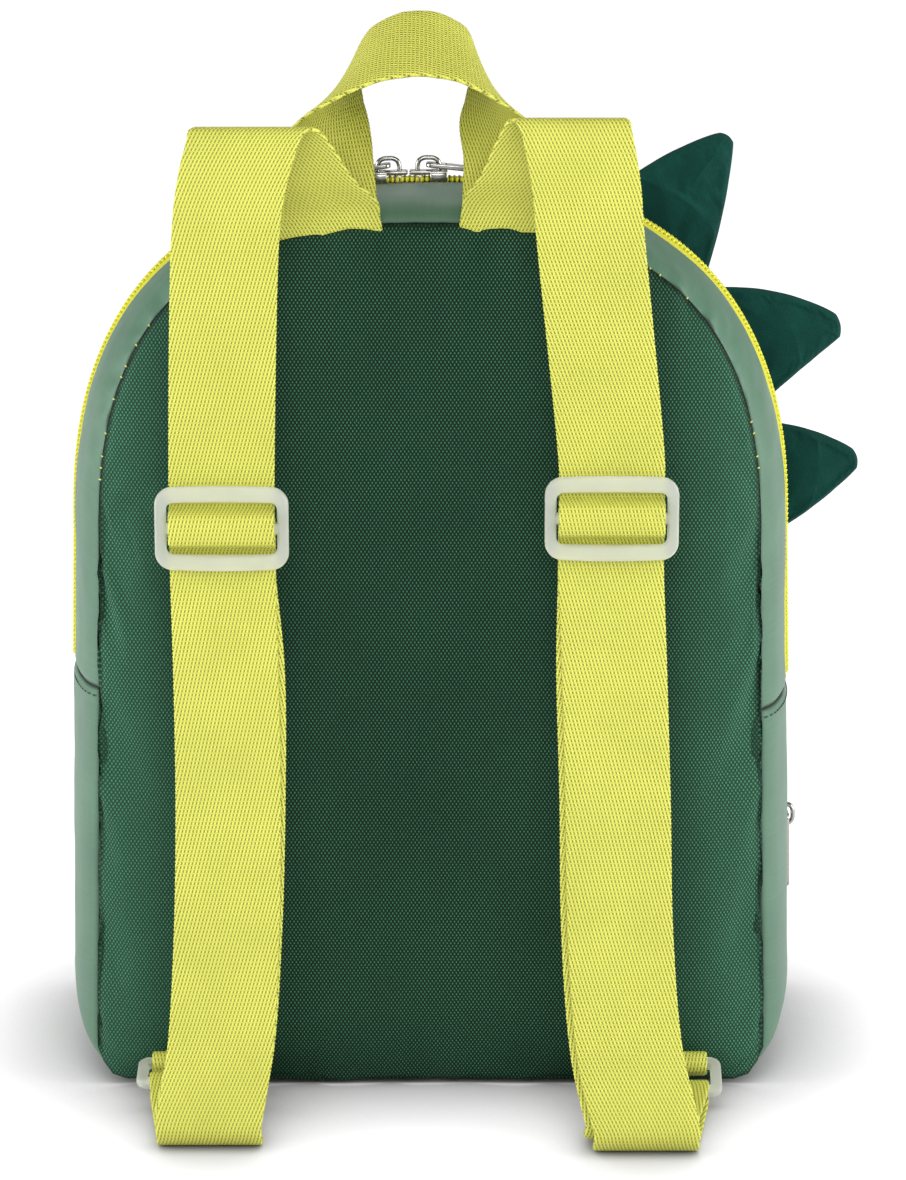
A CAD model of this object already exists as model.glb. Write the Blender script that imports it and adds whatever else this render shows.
"""A small child's backpack: cloth, webbing and hardware round the CAD frame.

Sizes are in millimetres unless a name says otherwise, and become metres where a mesh is made. The wearer's
back is towards -Y, left is -X, right is +X, +Z is up, and the origin is the middle of the base.
"""

import math

import bmesh
import bpy
import numpy as np
from bpy.props import FloatProperty, FloatVectorProperty, PointerProperty
from mathutils import Matrix, Vector, noise


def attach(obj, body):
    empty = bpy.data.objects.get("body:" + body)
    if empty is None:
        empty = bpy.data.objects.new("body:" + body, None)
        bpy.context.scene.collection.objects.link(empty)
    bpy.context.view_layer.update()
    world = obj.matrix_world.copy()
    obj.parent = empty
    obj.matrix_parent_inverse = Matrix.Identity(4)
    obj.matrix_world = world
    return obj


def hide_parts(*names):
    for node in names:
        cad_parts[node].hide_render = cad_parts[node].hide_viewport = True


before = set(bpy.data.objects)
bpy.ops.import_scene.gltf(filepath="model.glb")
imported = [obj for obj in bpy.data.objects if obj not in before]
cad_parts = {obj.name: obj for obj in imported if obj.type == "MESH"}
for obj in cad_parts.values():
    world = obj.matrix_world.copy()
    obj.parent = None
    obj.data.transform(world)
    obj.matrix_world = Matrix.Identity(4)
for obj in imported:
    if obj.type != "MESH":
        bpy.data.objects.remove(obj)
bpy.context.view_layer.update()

bl_info = {
    "name": "Kids Animal Backpack",
    "version": (1, 0, 0),
    "blender": (4, 5, 0),
    "location": "View3D > Sidebar > Backpack",
    "description": "Cloth, webbing and hardware of a small child's backpack, in a plain studio",
    "category": "Object",
}

MM = 0.001

# The space kept between pieces, the thickness of the bag's cloth, and how near two points are one, in metres
GAP = 0.3
FABRIC = 1.5
WELD = 1e-6


# Shapes of the bag

class Shape:
    """A bag form: its sizes, and its sections from the back seam to the front seam.

    Each section has its share of the depth, then shares of the side bulge, the top bulge, the edge lift and the
    bottom corner's radius, and the roundness of the top arch.
    """

    def __init__(self, sizes, sections):
        self.sizes = sizes
        self.at = np.array([row[0] for row in sections])
        self.columns = np.array([row[1:] for row in sections]).T
        self.slopes = [np.gradient(column, self.at) for column in self.columns]

    def values(self, at):
        """The sections' columns at a share of the depth, on smooth curves between the rows."""
        k = int(np.clip(np.searchsorted(self.at, at) - 1, 0, len(self.at) - 2))
        span = self.at[k + 1] - self.at[k]
        t = (at - self.at[k]) / span
        found = []
        for column, slope in zip(self.columns, self.slopes):
            low = column[k] * (1 + 2 * t) * (1 - t) ** 2 + slope[k] * span * t * (1 - t) ** 2
            high = column[k + 1] * (3 - 2 * t) * t ** 2 + slope[k + 1] * span * (t - 1) * t ** 2
            found.append(low + high)
        return found


MAIN = Shape(
    {"back_y": -45, "depth": 74, "half_low": 102.3, "half_high": 98.8, "arch_start": 165, "top": 267,
     "side_bulge": 10.3, "top_bulge": 7.3, "edge_lift": 1.5, "corner_radius": 28},
    [
        (0.0, 0.0, 0.0, 1.0, 0.43, 2.7),
        (0.07, 0.34, 0.36, 0.4, 0.6, 2.64),
        (0.2, 0.68, 0.7, 0.0, 0.84, 2.56),
        (0.38, 0.92, 0.93, 0.0, 1.0, 2.49),
        (0.57, 1.0, 1.0, 0.0, 1.0, 2.46),
        (0.72, 0.98, 0.83, 0.0, 0.9, 2.46),
        (0.88, 0.88, 0.4, 0.3, 0.72, 2.46),
        (1.0, 0.73, -0.1, 1.0, 0.55, 2.46),
    ],
)
MAIN_FRONT_Y = MAIN.sizes["back_y"] + MAIN.sizes["depth"]

POCKET = Shape(
    {"back_y": MAIN_FRONT_Y + 2 * GAP + FABRIC, "depth": 18, "half_low": 110.4, "half_high": 109.2,
     "arch_start": 86, "top": 148, "side_bulge": 1.6, "top_bulge": 1.6, "edge_lift": 2, "corner_radius": 16},
    [
        (0.0, 0.0, 0.0, 1.0, 0.95, 2.5),
        (0.35, 0.85, 0.85, 0.4, 1.0, 2.5),
        (0.7, 1.0, 1.0, 0.4, 1.0, 2.5),
        (1.0, 0.35, 0.35, 1.0, 0.95, 2.5),
    ],
)

# Heights of the side seams, left and right, where a zipper ends and the base strip begins
MAIN_JOIN = (125.5, 118.7)
POCKET_JOIN = (46, 46)

# Zippers: share of the depth where the middle runs, the window between the cloth folds, how deep the tape lies
# and how far coil and tape stand out of the window, and how deep and how wide the folds beside it curl in
MAIN_ZIP_AT = 0.57
POCKET_ZIP_AT = 0.6
ZIP_WINDOW = 9
TAPE_LEVEL = FABRIC + GAP
COIL_PROUD = 0.4
TAPE_PROUD = 0.6
FOLD_CURL = 1.4
FOLD_REACH = 3.2


class Section:
    """The outline of a bag form at a share of its depth, moved inwards by inset."""

    def __init__(self, shape, at, inset=0.0):
        out, rise, lift, corner, power = shape.values(at)
        sizes = shape.sizes
        self.y = sizes["back_y"] + at * sizes["depth"]
        self.floor = lift * sizes["edge_lift"] + inset
        self.corner = max(corner * sizes["corner_radius"] - inset, 2.0)
        self.half_low = sizes["half_low"] + out * sizes["side_bulge"] - inset
        self.half_high = sizes["half_high"] + out * sizes["side_bulge"] - inset
        self.arch_start = sizes["arch_start"]
        self.top = sizes["top"] + rise * sizes["top_bulge"] - inset
        self.power = power

    def half_outline(self):
        """Points (x, z) of the right half, from the middle of the base up to the middle of the top."""
        corner_x = self.half_low - self.corner
        low = self.floor + self.corner
        base = np.column_stack([np.linspace(0, corner_x, 50, endpoint=False), np.full(50, self.floor)])
        turn = np.linspace(0, math.pi / 2, 60)
        corner = np.column_stack([corner_x + self.corner * np.sin(turn), low - self.corner * np.cos(turn)])
        side_z = np.linspace(low, self.arch_start, 60)[1:-1]
        share = (side_z - low) / (self.arch_start - low)
        side = np.column_stack([self.half_low + (self.half_high - self.half_low) * share, side_z])
        turn = np.linspace(0, math.pi / 2, 160)
        arch = np.column_stack([
            self.half_high * np.clip(np.cos(turn), 0, 1) ** (2 / self.power),
            self.arch_start + (self.top - self.arch_start) * np.sin(turn) ** (2 / self.power),
        ])
        return np.vstack([base, corner, side, arch])

    def top_height(self, x):
        """Height of the top arch over a sideways place."""
        share = (abs(x) / self.half_high) ** self.power
        return self.arch_start + (self.top - self.arch_start) * (1 - share) ** (1 / self.power)

    def half_width(self, z):
        """Half width of the straight side at a height."""
        low = self.floor + self.corner
        share = min(max((z - low) / (self.arch_start - low), 0), 1)
        return self.half_low + (self.half_high - self.half_low) * share


def above(points, height):
    """The part of a half outline from a height up."""
    x = np.interp(height, points[:, 1], points[:, 0])
    return np.vstack([[x, height], points[points[:, 1] > height]])


def below(points, height):
    """The part of a half outline from the base up to a height."""
    kept = points[points[:, 1] < height]
    x = np.interp(height, points[len(points) // 3:, 1], points[len(points) // 3:, 0])
    return np.vstack([kept, [x, height]])


def mirrored(points):
    return points * [-1, 1]


def upper_arc(section, join):
    """From the left join over the top to the right join."""
    half = section.half_outline()
    return np.vstack([mirrored(above(half, join[0])), above(half, join[1])[::-1][1:]])


def lower_arc(section, join):
    """From the left join round the base to the right join."""
    half = section.half_outline()
    return np.vstack([mirrored(below(half, join[0]))[::-1], below(half, join[1])[1:]])


def respaced(points, count):
    """The same path with evenly spaced points."""
    steps = np.linalg.norm(np.diff(points, axis=0), axis=1)
    along = np.concatenate([[0], np.cumsum(steps)])
    places = np.linspace(0, along[-1], count)
    return np.column_stack([np.interp(places, along, column) for column in points.T])


def placed(points, y):
    """Points (x, z) of an outline as points in space."""
    return np.column_stack([points[:, 0], np.full(len(points), y), points[:, 1]])


def strip_surface(shape, arc, join, start, end, rows, columns, level=0.0):
    """Points of a strip of the bag's side between two shares of the depth, a row for each share."""
    surface = []
    for at in np.linspace(start, end, rows):
        section = Section(shape, at, level)
        surface.append(placed(respaced(arc(section, join), columns), section.y))
    return np.array(surface)


def side_curves(section):
    """The outline as four curves between its corners: bottom, right, top and left."""
    half = section.half_outline()
    corner_x = section.half_low - section.corner * (1 - math.sqrt(0.5))
    past_side = np.where(half[:, 1] > section.arch_start, 1e3, 0)
    lower = int(np.argmin(np.abs(half[:, 0] - corner_x) + past_side))
    arch = section.top - section.arch_start
    turn_height = section.arch_start + arch * math.sqrt(0.5) ** (2 / section.power)
    upper = int(np.argmin(np.abs(half[:, 1] - turn_height)))
    bottom = np.vstack([mirrored(half[:lower + 1])[::-1], half[1:lower + 1]])
    right = half[lower:upper + 1]
    top = np.vstack([mirrored(half[upper:]), half[upper:][::-1][1:]])
    return bottom, right, top, mirrored(right)


def filled(curves, across, up):
    """Points (x, z) that fill four curves, as rows from the bottom to the top."""
    bottom, top = (respaced(curve, across) for curve in (curves[0], curves[2]))
    right, left = (respaced(curve, up) for curve in (curves[1], curves[3]))
    u = np.linspace(0, 1, across)[None, :, None]
    v = np.linspace(0, 1, up)[:, None, None]
    along = (1 - v) * bottom[None] + v * top[None]
    beside = (1 - u) * left[:, None] + u * right[:, None]
    low_corners = (1 - u) * (1 - v) * bottom[0] + u * (1 - v) * bottom[-1]
    high_corners = (1 - u) * v * top[0] + u * v * top[-1]
    return along + beside - (low_corners + high_corners)


def edge_distance(grid, curves):
    """Distance of each point of a filled outline to its edge."""
    edge = np.vstack([respaced(curve, 240) for curve in curves])
    flat = grid.reshape(-1, 2)
    nearest = np.full(len(flat), 1e9)
    for point in edge:
        nearest = np.minimum(nearest, np.hypot(flat[:, 0] - point[0], flat[:, 1] - point[1]))
    return nearest.reshape(grid.shape[:2])


def dome(distance, roll):
    """Share of a dome's height at a distance from its edge: a quarter circle, then level."""
    share = np.clip(distance / roll, 0, 1)
    return np.sqrt(1 - (1 - share) ** 2)


# Meshes

def surface_normals(surface):
    """Unit normals of a grid of points."""
    along = np.gradient(surface, axis=1)
    across = np.gradient(surface, axis=0)
    normals = np.cross(along, across)
    length = np.linalg.norm(normals, axis=2, keepdims=True)
    return normals / np.maximum(length, 1e-9)


def facing_out(surface):
    """A strip's points and normals, turned round where needed so that the normals point off the bag."""
    normals = surface_normals(surface)
    middle = surface.reshape(-1, 3).mean(axis=0)
    if np.sum(normals * (surface - middle)) < 0:
        return surface[:, ::-1], -normals[:, ::-1]
    return surface, normals


def lengths_of(surface, axis):
    """Distance along the rows (axis 1) or columns (axis 0) of a grid of points, on its middle line."""
    line = surface[len(surface) // 2] if axis == 1 else surface[:, surface.shape[1] // 2]
    steps = np.linalg.norm(np.diff(line, axis=0), axis=1)
    return np.concatenate([[0], np.cumsum(steps)])


def grid_bmesh(surface, uv=None, from_seam=None):
    """A grid whose vertices lie on a surface's points, with a UV map in millimetres along and across it.

    from_seam is each point's distance to the nearest seam, which cloth needs for its look.
    """
    rows, columns = surface.shape[:2]
    if uv is None:
        uv = np.stack(np.meshgrid(lengths_of(surface, 1), lengths_of(surface, 0)), axis=2)
    mesh = bmesh.new()
    bmesh.ops.create_grid(mesh, x_segments=columns - 1, y_segments=rows - 1, size=1)
    layer = mesh.loops.layers.uv.new("UVMap")
    seam_layer = mesh.verts.layers.float.new("from_seam") if from_seam is not None else None
    places = {}
    for vertex in mesh.verts:
        column = round((vertex.co.x + 1) / 2 * (columns - 1))
        row = round((vertex.co.y + 1) / 2 * (rows - 1))
        places[vertex] = (row, column)
    for face in mesh.faces:
        for loop in face.loops:
            loop[layer].uv = uv[places[loop.vert]]
    for vertex, place in places.items():
        vertex.co = surface[place] * MM
        if seam_layer:
            vertex[seam_layer] = from_seam[place]
    return mesh


def join_into(mesh, other):
    """Adds a bmesh to another and frees it."""
    copied = bpy.data.meshes.new("joined")
    other.to_mesh(copied)
    other.free()
    mesh.from_mesh(copied)
    bpy.data.meshes.remove(copied)


def frame_of(along, across, off, middle):
    """A frame with three axes and a middle."""
    found = Matrix.Identity(4)
    for column, axis in enumerate((along, across, off)):
        for row in range(3):
            found[row][column] = axis[row]
    found.translation = middle
    return found


def finish_piece(mesh, name, look, body="bag"):
    """Makes a bmesh an object that rides on a body."""
    data = bpy.data.meshes.new(name)
    for face in mesh.faces:
        face.smooth = True
    mesh.to_mesh(data)
    mesh.free()
    piece = bpy.data.objects.new(name, data)
    bpy.context.scene.collection.objects.link(piece)
    data.materials.append(look)
    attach(piece, body)
    return piece


def outward(mesh):
    """Turns a closed mesh's faces outwards."""
    bmesh.ops.recalc_face_normals(mesh, faces=mesh.faces)


def stands_for(piece, *nodes, slot):
    """Says which CAD nodes a piece replaces and which finish it takes."""
    if nodes:
        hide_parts(*nodes)
    return piece


def thickened(piece, thickness):
    """Gives a cloth piece its wall, inwards."""
    wall = piece.modifiers.new("Wall", "SOLIDIFY")
    wall.thickness = thickness * MM
    wall.offset = -1
    return piece


# Cloth

STRIP_COLUMNS = 400

# Soft cloth: depth and size of its long hollows, of the puckers at its seams and of its fine waves, then how its
# sewn edge turns in and how far from it the cloth stays flat
HOLLOW = {"depth": 0.55, "hills": (34, 22, 1)}
PUCKER = {"depth": 0.45, "hills": (6.5, 30, 1), "reach": 5.5}
FINE_WAVE = {"depth": 0.18, "hills": (13, 11, 1)}
TURNED_EDGE = {"depth": 1.1, "reach": 1.3}
FLAT_EDGE = 2.5

# The cloth at the back seam's upper corners: where they are along the strip, how it bunches and how it creases
UPPER_CORNERS = (0.27, 0.73)
CORNER_REACH = 0.11
RUFFLE = {"depth": 2.6, "hill": 7.5, "reach": 3.5, "inwards": 0.8, "proud": 0.9}
CREASE = {"depth": 1.3, "hills": (7, 34, 1), "lean": 0.5, "reach": 14}
BAG_MIDDLE = np.array([0.0, 0.0, 150.0])

# How much faster the look of a seam fades away from a folded edge than from a sewn one
FOLD_FADE = 2.2


def noise_at(points, scale, seed):
    """Smooth noise, from -1 to 1, at each point of a grid. scale is the size of its hills, for each axis."""
    flat = points.reshape(-1, 3) / np.array(scale)
    values = [noise.noise(Vector(p) + Vector((seed, 0, 0))) for p in flat.tolist()]
    return np.array(values).reshape(points.shape[:-1])


def from_edges(rows_lengths, first, last):
    """Distance of each row from the nearer of the sewn edges that are asked for."""
    distance = np.full(len(rows_lengths), 1e3)
    if first:
        distance = np.minimum(distance, rows_lengths)
    if last:
        distance = np.minimum(distance, rows_lengths[-1] - rows_lengths)
    return distance


def flat_places(surface):
    """Each point's place along and across a strip, as points of a flat sheet."""
    along, across = np.meshgrid(lengths_of(surface, 1), lengths_of(surface, 0))
    return np.stack([along, across, np.zeros(along.shape)], axis=2)


def soft_strip(surface, first, last, seed):
    """Lets a strip of cloth lie softly: long hollows, short puckers at its sewn edges, and edges that turn in."""
    across = from_edges(lengths_of(surface, 0), first, last)
    along = from_edges(lengths_of(surface, 1), True, True)
    distance = np.minimum(across[:, None], along[None, :])
    place = flat_places(surface)
    hollow = noise_at(place, HOLLOW["hills"], seed) * HOLLOW["depth"]
    pucker = noise_at(place, PUCKER["hills"], seed + 7) * PUCKER["depth"] * np.exp(-distance / PUCKER["reach"])
    fine = noise_at(place, FINE_WAVE["hills"], seed + 15) * FINE_WAVE["depth"]
    turned = TURNED_EDGE["depth"] * np.exp(-((distance / TURNED_EDGE["reach"]) ** 2))
    fade = 1 - np.exp(-((distance / FLAT_EDGE) ** 2))
    return (hollow + pucker + fine) * fade - turned


def near_corners(along):
    """From 1 at the two upper corners of a strip over the bag to 0 away from them."""
    share = along / along[-1]
    return sum(np.exp(-(((share - place) / CORNER_REACH) ** 2)) for place in UPPER_CORNERS)


def ruffled(surface, seed):
    """Lets the back seam's cloth bunch over the panel's edge at the two upper corners."""
    along = lengths_of(surface, 1)
    across = lengths_of(surface, 0)
    place = np.stack([along, np.zeros(len(along)), np.zeros(len(along))], axis=1)
    wave = noise_at(place, (RUFFLE["hill"], 1, 1), seed) * RUFFLE["depth"] * near_corners(along)
    near = np.exp(-across / RUFFLE["reach"])[:, None]
    inwards = BAG_MIDDLE - surface
    inwards[..., 1] = 0
    inwards /= np.linalg.norm(inwards, axis=2, keepdims=True)
    moved = surface + inwards * (near * wave[None, :])[..., None] * RUFFLE["inwards"]
    moved[..., 1] -= near * np.abs(wave)[None, :] * RUFFLE["proud"]
    return moved


def creases(surface, seed):
    """Slanted creases that leave the back seam at the two upper corners."""
    place = flat_places(surface)
    place[..., 0] += CREASE["lean"] * place[..., 1]
    near = np.exp(-lengths_of(surface, 0) / CREASE["reach"])[:, None]
    corners = near_corners(lengths_of(surface, 1))[None, :]
    return noise_at(place, CREASE["hills"], seed) * CREASE["depth"] * corners * near


def folded_edge(across, sewn):
    """How far a strip curls in at the fold beside the zipper, for each row."""
    distance = across if sewn[1] else across[-1] - across
    return FOLD_CURL * np.exp(-((distance / FOLD_REACH) ** 2))


def cloth_strip(name, shape, arc, join, shares, look, sewn, rows, seed, ruffle):
    """A strip of the bag's side, as soft cloth with a wall. sewn says which of its long edges are sewn."""
    surface = strip_surface(shape, arc, join, shares[0], shares[1], rows, STRIP_COLUMNS)
    if ruffle:
        surface = ruffled(surface, seed)
    surface, normals = facing_out(surface)
    across, along = lengths_of(surface, 0), lengths_of(surface, 1)
    depth = soft_strip(surface, sewn[0], sewn[1], seed)
    if ruffle:
        depth += creases(surface, seed + 21)
    if not all(sewn):
        depth -= folded_edge(across, sewn)[:, None]
    fade = [1.0 if held else FOLD_FADE for held in sewn]
    from_seam = np.minimum(across * fade[0], (across[-1] - across) * fade[1])[:, None]
    from_seam = np.minimum(from_seam, from_edges(along, True, True)[None, :])
    mesh = grid_bmesh(surface + normals * depth[..., None], None, from_seam)
    return thickened(finish_piece(mesh, name, look), FABRIC)


# Materials

class Looks:
    """Builds one material from nodes. A value given to a node is a number, a colour or another node's output."""

    def __init__(self, name):
        self.material = bpy.data.materials.new(name)
        self.material.use_nodes = True
        self.tree = self.material.node_tree
        self.shader = self.tree.nodes["Principled BSDF"]

    def node(self, kind, values=(), **settings):
        made = self.tree.nodes.new(kind)
        for key, value in settings.items():
            setattr(made, key, value)
        for socket, value in (values.items() if isinstance(values, dict) else enumerate(values)):
            self.put(made.inputs[socket], value)
        return made

    def put(self, socket, value):
        if isinstance(value, bpy.types.NodeSocket):
            self.tree.links.new(value, socket)
        elif value is not None:
            socket.default_value = value

    def sum(self, operation, *values):
        return self.node("ShaderNodeMath", values, operation=operation).outputs[0]

    def wave(self, place, pitch):
        """From 0 to 1 and back once for each pitch of a place."""
        turn = self.sum("MULTIPLY", place, 2 * math.pi / pitch)
        return self.sum("MULTIPLY_ADD", self.sum("COSINE", turn), 0.5, 0.5)

    def noise(self, place, scale, detail=3.0):
        values = {"Vector": place, "Scale": scale, "Detail": detail}
        return self.node("ShaderNodeTexNoise", values).outputs["Fac"]

    def between(self, share, low, high):
        """A mix of two colours."""
        mix = self.node("ShaderNodeMix", data_type="RGBA")
        self.put(mix.inputs["Factor"], share)
        self.put(mix.inputs["A"], low)
        self.put(mix.inputs["B"], high)
        return mix.outputs["Result"]

    def range(self, value, low, high, new_low=0.0, new_high=1.0):
        return self.node("ShaderNodeMapRange", (value, low, high, new_low, new_high)).outputs[0]

    def object_place(self):
        """Object coordinates in millimetres."""
        place = self.node("ShaderNodeTexCoord").outputs["Object"]
        return self.node("ShaderNodeVectorMath", {0: place, "Scale": 1000.0}, operation="SCALE").outputs[0]

    def map_place(self, name="UVMap"):
        return self.node("ShaderNodeUVMap", uv_map=name).outputs[0]

    def parts(self, place):
        return self.node("ShaderNodeSeparateXYZ", (place,)).outputs

    def bump(self, height, distance, strength=1.0, normal=None):
        values = {"Height": height, "Distance": distance * MM, "Strength": strength}
        if normal is not None:
            values["Normal"] = normal
        return self.node("ShaderNodeBump", values).outputs[0]

    def set(self, **values):
        """Sets the shader's sockets. An underscore in a name stands for a space."""
        for key, value in values.items():
            self.put(self.shader.inputs[key.replace("_", " ")], value)
        return self.material


def colour_property(name, description, value):
    return FloatVectorProperty(name=name, description=description, default=value, subtype="COLOR",
                               min=0, max=1, size=3)


def opaque(colour):
    return (*colour, 1.0)


def shaded(colour, factor):
    """A lighter or darker version of a colour."""
    return tuple(min(channel * factor, 1.0) for channel in colour) + (1.0,)


class ClothSettings(bpy.types.PropertyGroup):
    """Sizes and colours of the bag's cloth."""

    panel_colour: colour_property("Panel", "Ground colour of the padded back panel", (0.001, 0.015, 0.005))
    dot_colour: colour_property("Panel dots", "Colour of the threads that dot the back panel",
                                (0.050, 0.185, 0.105))
    side_colour: colour_property("Sides", "Colour of the smooth side and front cloth", (0.078, 0.160, 0.104))
    spike_colour: colour_property("Spikes", "Colour of the stuffed spikes", (0.0035, 0.040, 0.031))
    dot_pitch: FloatProperty(name="Dot pitch", description="Distance between dots along a row, in millimetres",
                             default=1.13, min=0.3, max=5)
    row_pitch: FloatProperty(name="Row pitch", description="Height of two rows of dots, in millimetres",
                             default=1.73, min=0.3, max=5)


class WebbingSettings(bpy.types.PropertyGroup):
    """Sizes and colours of the straps, the handle and the zipper."""

    colour: colour_property("Webbing", "Colour of the ribs of the webbing", (0.700, 0.710, 0.125))
    gap_colour: colour_property("Between ribs", "Colour in the gaps of the webbing", (0.200, 0.205, 0.008))
    zipper_colour: colour_property("Zipper", "Colour of the zipper's tape and coil", (0.620, 0.600, 0.035))
    width: FloatProperty(name="Width", description="Width of the webbing, in millimetres", default=31,
                         min=15, max=50)
    thickness: FloatProperty(name="Thickness", description="Thickness of the webbing, in millimetres",
                             default=1.4, min=0.8, max=3)
    rib_pitch: FloatProperty(name="Rib pitch", description="Distance between ribs along the strap, in millimetres",
                             default=1.18, min=0.5, max=4)
    column_pitch: FloatProperty(name="Column pitch", description="Distance between ribs across, in millimetres",
                                default=1.06, min=0.5, max=4)


class HardwareSettings(bpy.types.PropertyGroup):
    """Looks of the plastic and the metal."""

    plastic_colour: colour_property("Plastic", "Colour of the frosted plastic", (0.900, 0.920, 0.830))
    metal_colour: colour_property("Metal", "Colour of the zipper sliders", (0.430, 0.420, 0.400))


class StageSettings(bpy.types.PropertyGroup):
    """The camera and the light."""

    lens: FloatProperty(name="Lens", description="Focal length of the camera, in millimetres", default=126.0,
                        min=20, max=300)
    pitch: FloatProperty(name="Pitch", description="How far the camera looks down", default=math.radians(13.76),
                         subtype="ANGLE", unit="ROTATION")
    side_light: FloatProperty(name="Side light", description="Power of each side light, in watts", default=17,
                              min=0)
    room_light: FloatProperty(name="Room light", description="Strength of the light from all round", default=0.14,
                              min=0)


SETTINGS = {
    "backpack_cloth": ClothSettings,
    "backpack_webbing": WebbingSettings,
    "backpack_hardware": HardwareSettings,
    "backpack_stage": StageSettings,
}


def material_once(name, build):
    """The material of that name, built the first time that it is asked for."""
    return bpy.data.materials.get(name) or build(name)


def panel_material(name):
    """Dark green mesh cloth with staggered rows of paler dots."""
    cloth = bpy.context.scene.backpack_cloth
    looks = Looks(name)
    place = looks.parts(looks.map_place())
    across = looks.sum("COSINE", looks.sum("MULTIPLY", place[0], 2 * math.pi / cloth.dot_pitch))
    up = looks.sum("COSINE", looks.sum("MULTIPLY", place[1], 2 * math.pi / cloth.row_pitch))
    weave = looks.sum("MULTIPLY", across, up)
    dots = looks.range(weave, 0.05, 0.95)
    cloudy = looks.noise(looks.object_place(), 0.03)
    dots = looks.sum("MULTIPLY", dots, looks.range(cloudy, 0.3, 0.7, 0.75, 1.0))
    rolled = looks.range(looks.sum("ABSOLUTE", place[0]), 62, 94)
    from_seam = looks.node("ShaderNodeAttribute", attribute_name="from_seam").outputs["Fac"]
    ground = looks.between(rolled, opaque(cloth.panel_colour), shaded(cloth.dot_colour, 0.3))
    threads = looks.between(rolled, opaque(cloth.dot_colour), shaded(cloth.dot_colour, 1.5))
    colour = looks.between(looks.range(from_seam, 0.2, 1.8), shaded(cloth.panel_colour, 0.6),
                           looks.between(dots, ground, threads))
    return looks.set(Base_Color=colour, Roughness=0.75, Specular_IOR_Level=0.16, Sheen_Weight=0.04,
                     Sheen_Roughness=0.4, Normal=looks.bump(weave, 0.16, 0.8))


def side_material(name):
    """Sage cloth, tightly woven and slightly glossy."""
    cloth = bpy.context.scene.backpack_cloth
    looks = Looks(name)
    place = looks.map_place()
    parts = looks.parts(place)
    warp = looks.wave(parts[0], 0.42)
    weft = looks.wave(parts[1], 0.42)
    threads = looks.sum("MULTIPLY", warp, weft)
    cloudy = looks.noise(looks.object_place(), 0.05)
    streaks = looks.node("ShaderNodeMapping", {"Vector": place, "Scale": (1.5, 0.06, 1.0)}).outputs[0]
    streaky = looks.noise(streaks, 1.0, 2.0)
    tone = looks.sum("MULTIPLY_ADD", streaky, 0.4, looks.sum("MULTIPLY", cloudy, 0.6))
    smooth = looks.between(looks.range(tone, 0.3, 0.7), shaded(cloth.side_colour, 0.88),
                           shaded(cloth.side_colour, 1.12))
    from_seam = looks.node("ShaderNodeAttribute", attribute_name="from_seam").outputs["Fac"]
    seam = looks.range(from_seam, 0.1, 1.3)
    colour = looks.between(seam, shaded(cloth.side_colour, 0.2), smooth)
    return looks.set(Base_Color=colour, Roughness=0.5, Specular_IOR_Level=0.3, Sheen_Weight=0.08,
                     Sheen_Roughness=0.4, Normal=looks.bump(threads, 0.05, 0.5))


def spike_material(name):
    """Dark teal brushed cloth."""
    cloth = bpy.context.scene.backpack_cloth
    looks = Looks(name)
    place = looks.object_place()
    fibres = looks.noise(place, 2.2, 4.0)
    patches = looks.noise(place, 0.12, 3.0)
    tone = looks.sum("MULTIPLY_ADD", fibres, 0.5, looks.sum("MULTIPLY", patches, 0.5))
    colour = looks.between(looks.range(tone, 0.32, 0.68), shaded(cloth.spike_colour, 0.75),
                           shaded(cloth.spike_colour, 1.3))
    return looks.set(Base_Color=colour, Roughness=0.95, Specular_IOR_Level=0.08, Sheen_Weight=0.03,
                     Sheen_Roughness=0.6, Normal=looks.bump(fibres, 0.25, 0.6))


def webbing_material(name, slant=1):
    """Lime webbing: short bright ribs in slanted columns. The map runs across and along the band."""
    webbing = bpy.context.scene.backpack_webbing
    looks = Looks(name)
    parts = looks.parts(looks.map_place())
    lean = looks.sum("MULTIPLY", parts[1], slant * 0.27 * webbing.column_pitch / webbing.rib_pitch)
    across = looks.wave(looks.sum("ADD", parts[0], lean), webbing.column_pitch)
    up = looks.sum("SUBTRACT", 1.0, looks.wave(parts[1], webbing.rib_pitch))
    gap = looks.sum("MULTIPLY", looks.range(across, 0.0, 0.68, 1.0, 0.0), looks.range(up, 0.1, 0.6))
    rib = looks.sum("SUBTRACT", looks.sum("MULTIPLY_ADD", up, 0.28, 0.72), gap)
    cloudy = looks.noise(looks.object_place(), 0.06)
    tone = looks.sum("MULTIPLY", rib, looks.range(cloudy, 0.3, 0.7, 0.88, 1.0))
    colour = looks.between(tone, opaque(webbing.gap_colour), opaque(webbing.colour))
    return looks.set(Base_Color=colour, Roughness=0.6, Specular_IOR_Level=0.35, Normal=looks.bump(rib, 0.3, 0.8))


def tape_material(name):
    """Lime zipper tape with a herringbone of fine threads."""
    webbing = bpy.context.scene.backpack_webbing
    looks = Looks(name)
    parts = looks.parts(looks.map_place())
    slanted = looks.sum("ADD", parts[0], looks.sum("ABSOLUTE", looks.sum("PINGPONG", parts[1], 1.2)))
    thread = looks.wave(slanted, 0.55)
    colour = looks.between(thread, shaded(webbing.zipper_colour, 0.7), opaque(webbing.zipper_colour))
    return looks.set(Base_Color=colour, Roughness=0.7, Normal=looks.bump(thread, 0.08, 0.6))


def coil_material(name):
    """Lime plastic of the zipper's coil."""
    webbing = bpy.context.scene.backpack_webbing
    looks = Looks(name)
    cloudy = looks.noise(looks.object_place(), 0.4)
    colour = looks.between(cloudy, shaded(webbing.zipper_colour, 0.9), shaded(webbing.zipper_colour, 1.25))
    return looks.set(Base_Color=colour, Roughness=0.4, Normal=looks.bump(cloudy, 0.05, 0.3))


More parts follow.
